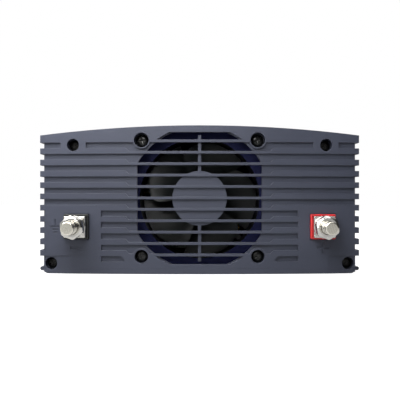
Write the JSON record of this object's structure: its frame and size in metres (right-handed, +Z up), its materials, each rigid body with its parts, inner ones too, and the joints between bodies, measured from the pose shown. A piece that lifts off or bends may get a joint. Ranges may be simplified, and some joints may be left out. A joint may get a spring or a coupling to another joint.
{
  "type": "power inverter",
  "caption": "Box-shaped power inverter in a finned metal case: fan grille and battery studs at the front, mains outlets and controls at the rear.",
  "frame": {"origin": "under the middle of the whole object, on the surface it rests on", "axes": "+Z up, -Y towards the battery-stud and fan end, +X to the right as that end is seen, the positive stud's side"},
  "size_m": [0.203, 0.3378, 0.0912],
  "materials": {
    "case_paint": "fine-textured slate-blue powder coat, satin",
    "end_plate_paint": "dark navy coating, satin",
    "black_oxide": "black oxide steel",
    "zinc_steel": "zinc-plated steel",
    "black_plastic": "moulded black plastic",
    "red_plastic": "moulded red plastic",
    "white_plastic": "moulded white plastic",
    "terminal_plating": "bright tin plating",
    "copper": "bare copper",
    "brass": "bare brass",
    "board_green": "green solder mask on glass laminate",
    "insulation": "thin amber insulating sheet",
    "capacitor_sleeve": "shrunk plastic sleeve",
    "ferrite": "sintered ferrite",
    "toroid_coat": "green epoxy coat",
    "winding_tape": "yellow winding tape",
    "fuse_plastic": "tinted moulded plastic",
    "core_steel": "laminated electrical steel",
    "aluminium_plate": "mill finish",
    "epoxy_black": "moulded epoxy",
    "lens": "tinted clear plastic",
    "dip_red": "moulded red plastic"
  },
  "bodies": {
    "case": {"top_cover": "case_paint", "base_tray": "case_paint", "dc_bezel": "case_paint", "ac_bezel": "case_paint", "dc_end_plate": "end_plate_paint", "ac_end_plate": "end_plate_paint", "bezel_screws": "black_oxide", "fan_screws": "black_oxide", "fan_nuts": "zinc_steel", "fan_frame": "black_plastic", "stator_core": "core_steel", "stator_windings": "copper", "fan_bearings": "zinc_steel", "negative_block": "terminal_plating", "positive_block": "terminal_plating", "negative_insulator": "black_plastic", "positive_insulator": "red_plastic", "negative_stud": "terminal_plating", "positive_stud": "terminal_plating", "terminal_washers": "terminal_plating", "spring_washers": "zinc_steel", "terminal_nuts": "terminal_plating", "bus_bars": "copper", "main_board": "board_green", "board_standoffs": "brass", "board_screws": "zinc_steel", "insulation_sheet": "insulation", "input_capacitors": "capacitor_sleeve", "link_capacitors": "capacitor_sleeve", "blade_fuses": "fuse_plastic", "transformer_cores": "ferrite", "transformer_windings": "winding_tape", "choke_cores": "toroid_coat", "choke_windings": "copper", "power_transistors": "epoxy_black", "heat_spreaders": "aluminium_plate", "transistor_clips": "zinc_steel", "control_board": "board_green", "control_chips": "epoxy_black", "left_outlet": "black_plastic", "right_outlet": "black_plastic", "outlet_contacts": "brass", "outlet_earth_clips": "terminal_plating", "switch_body": "black_plastic", "breaker_body": "black_plastic", "breaker_nut": "black_oxide", "dip_block": "dip_red", "status_lenses": "lens", "remote_jack": "black_plastic", "earth_stud": "terminal_plating", "earth_nuts": "terminal_plating"},
    "fan_rotor": {"fan_impeller": "black_plastic", "rotor_yoke": "zinc_steel", "rotor_magnet": "ferrite"},
    "rocker": {"switch_rocker": "black_plastic"},
    "reset_button": {"breaker_button": "black_plastic"},
    "dip_1": {"dip_lever_1": "white_plastic"},
    "dip_2": {"dip_lever_2": "white_plastic"},
    "dip_3": {"dip_lever_3": "white_plastic"},
    "dip_4": {"dip_lever_4": "white_plastic"}
  },
  "joints": [
    {"name": "fan_spin", "type": "hinge", "parent": "case", "child": "fan_rotor", "pos_m": [0, -0.1151, 0.0465], "axis": [0, 1, 0], "continuous": true},
    {"name": "power_switch", "type": "hinge", "parent": "case", "child": "rocker", "pos_m": [-0.02, 0.1573, 0.058], "axis": [1, 0, 0], "range_deg": [-18, 0]},
    {"name": "breaker_reset", "type": "slide", "parent": "case", "child": "reset_button", "axis": [0, 1, 0], "range_m": [0, 0.003]},
    {"name": "dip_switch_1", "type": "slide", "parent": "case", "child": "dip_1", "axis": [0, 0, 1], "range_m": [0, 0.0018]},
    {"name": "dip_switch_2", "type": "slide", "parent": "case", "child": "dip_2", "axis": [0, 0, 1], "range_m": [0, 0.0018]},
    {"name": "dip_switch_3", "type": "slide", "parent": "case", "child": "dip_3", "axis": [0, 0, 1], "range_m": [0, 0.0018]},
    {"name": "dip_switch_4", "type": "slide", "parent": "case", "child": "dip_4", "axis": [0, 0, 1], "range_m": [0, 0.0018]}
  ]
}
